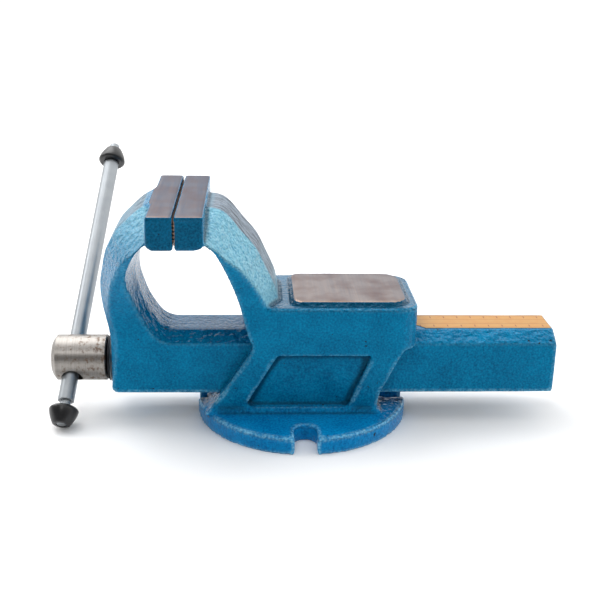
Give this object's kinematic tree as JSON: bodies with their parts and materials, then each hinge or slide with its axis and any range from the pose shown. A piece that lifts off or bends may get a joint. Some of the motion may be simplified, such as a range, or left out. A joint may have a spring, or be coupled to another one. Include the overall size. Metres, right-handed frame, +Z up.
{
  "type": "bench vise",
  "caption": "Bench vise with a fixed round base, wide flat jaws, a sliding front jaw on a hollow bar, a printed scale and a sliding handle rod.",
  "frame": {"origin": "centre of the base flange underside", "axes": "+X runs along the screw from the handle to the rear end of the slide, +Y along the jaws, +Z up out of the base"},
  "size_m": [0.4355, 0.2652, 0.2055],
  "materials": {
    "blue_enamel": "gloss hammered enamel on cast iron",
    "jaw_steel": "ground bare steel",
    "black_steel": "blackened steel",
    "nut_iron": "machined cast iron",
    "zinc_steel": "bright zinc plate",
    "turned_steel": "turned steel, faint rust",
    "scale_paint": "printed yellow strip",
    "bush_brass": "bored bush",
    "black_rubber": "moulded black cap"
  },
  "bodies": {
    "body": {"body_casting": "blue_enamel", "fixed_jaw_plate": "jaw_steel", "fixed_jaw_screws": "black_steel", "spindle_nut": "nut_iron", "nut_bolt": "zinc_steel", "nut_washer": "zinc_steel", "nut_dowel": "turned_steel"},
    "moving_jaw": {"slide_casting": "blue_enamel", "moving_jaw_plate": "jaw_steel", "moving_jaw_screws": "black_steel", "scale_strip": "scale_paint", "front_bush": "bush_brass", "seat_collar": "black_steel"},
    "screw": {"spindle": "turned_steel", "disc_spring": "black_steel", "thrust_washer": "zinc_steel", "retaining_collar": "turned_steel", "collar_pin": "turned_steel"},
    "handle": {"handle_rod": "zinc_steel", "upper_cap": "black_rubber", "lower_cap": "black_rubber"}
  },
  "joints": [
    {"name": "jaw_slide", "type": "slide", "parent": "body", "child": "moving_jaw", "axis": [-1, 0, 0], "range_m": [0, 0.15]},
    {"name": "spindle_turn", "type": "hinge", "parent": "moving_jaw", "child": "screw", "pos_m": [-0.2, 0, 0.0485], "axis": [-1, 0, 0], "range_deg": [0, 9000]},
    {"name": "handle_slide", "type": "slide", "parent": "screw", "child": "handle", "axis": [0.0872, 0.7403, 0.6666], "range_m": [-0.186, 0.024]}
  ],
  "couplings": [
    {"joint": "jaw_slide", "follows": "spindle_turn", "m_per_rad": 0.00095493}
  ]
}
